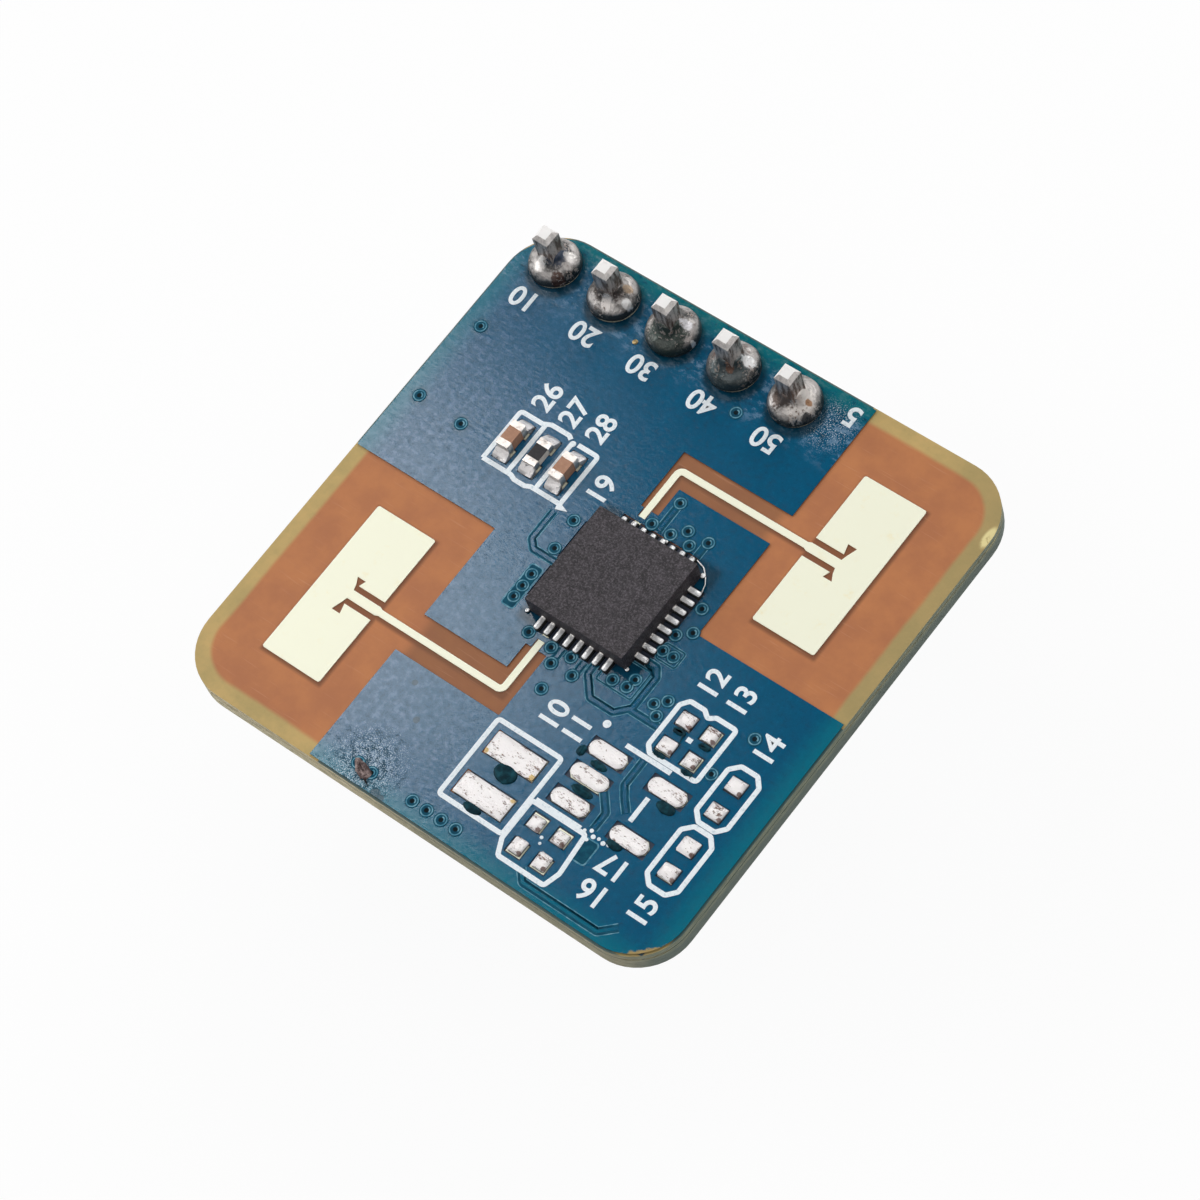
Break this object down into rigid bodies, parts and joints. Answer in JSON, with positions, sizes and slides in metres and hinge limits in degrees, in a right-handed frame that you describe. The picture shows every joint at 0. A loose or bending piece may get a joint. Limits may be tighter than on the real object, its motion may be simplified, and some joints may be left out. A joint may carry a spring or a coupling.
{
  "type": "microwave radar sensor module",
  "caption": "Small square radar board with two patch antennas, a leadless radar chip and a pin header that plugs into a host board.",
  "frame": {"origin": "axis of the middle header pin, at the underside of the header's insulator, where it seats on the host board", "axes": "+X along the pin row, +Y towards the board edge that holds the header, +Z out of the antenna face, away from the host board"},
  "size_m": [0.02, 0.02, 0.0115],
  "materials": {
    "laminate": "bare woven glass laminate, olive at the rim",
    "ground_copper": "bare copper foil inside the board",
    "solder_mask": "satin blue solder mask",
    "gold_plate": "pale immersion gold",
    "moulding": "dark grey moulding compound",
    "lead_metal": "tin-plated leads",
    "solder": "bright solder with grey hollows",
    "capacitor_ceramic": "light brown ceramic",
    "alumina": "white alumina",
    "resistor_coat": "black coat",
    "crystal_metal": "satin metal lid",
    "insulator_plastic": "black plastic",
    "pin_metal": "plated square pins"
  },
  "bodies": {
    "root": {"back_capacitor_1_body": "capacitor_ceramic", "back_capacitor_1_terminals": "lead_metal", "back_capacitor_2_body": "capacitor_ceramic", "back_capacitor_2_terminals": "lead_metal", "back_capacitor_3_body": "capacitor_ceramic", "back_capacitor_3_terminals": "lead_metal", "back_ground_copper": "ground_copper", "back_lands": "gold_plate", "back_part_solder": "solder", "back_resistor_coat": "resistor_coat", "back_resistor_slab": "alumina", "back_resistor_terminals": "lead_metal", "back_solder_mask": "solder_mask", "controller_body": "moulding", "controller_ground_pad": "lead_metal", "controller_solder": "solder", "controller_terminals": "lead_metal", "crystal_base": "alumina", "crystal_lid": "crystal_metal", "crystal_solder": "solder", "front_capacitor_1_body": "capacitor_ceramic", "front_capacitor_1_terminals": "lead_metal", "front_capacitor_2_body": "capacitor_ceramic", "front_capacitor_2_terminals": "lead_metal", "front_ground_copper": "ground_copper", "front_part_lands": "gold_plate", "front_part_solder": "solder", "front_resistor_coat": "resistor_coat", "front_resistor_slab": "alumina", "front_resistor_terminals": "lead_metal", "front_solder_mask": "solder_mask", "header_barrels": "gold_plate", "header_insulator": "insulator_plastic", "header_pin_1": "pin_metal", "header_pin_2": "pin_metal", "header_pin_3": "pin_metal", "header_pin_4": "pin_metal", "header_pin_5": "pin_metal", "header_solder_1": "solder", "header_solder_2": "solder", "header_solder_3": "solder", "header_solder_4": "solder", "header_solder_5": "solder", "inner_ground_plane": "ground_copper", "lower_laminate": "laminate", "radar_chip_body": "moulding", "radar_chip_ground_pad": "lead_metal", "radar_chip_lands": "gold_plate", "radar_chip_solder": "solder", "radar_chip_terminals": "lead_metal", "receive_antenna": "gold_plate", "spare_lands": "gold_plate", "spare_solder": "solder", "transmit_antenna": "gold_plate", "upper_laminate": "laminate"}
  },
  "joints": []
}
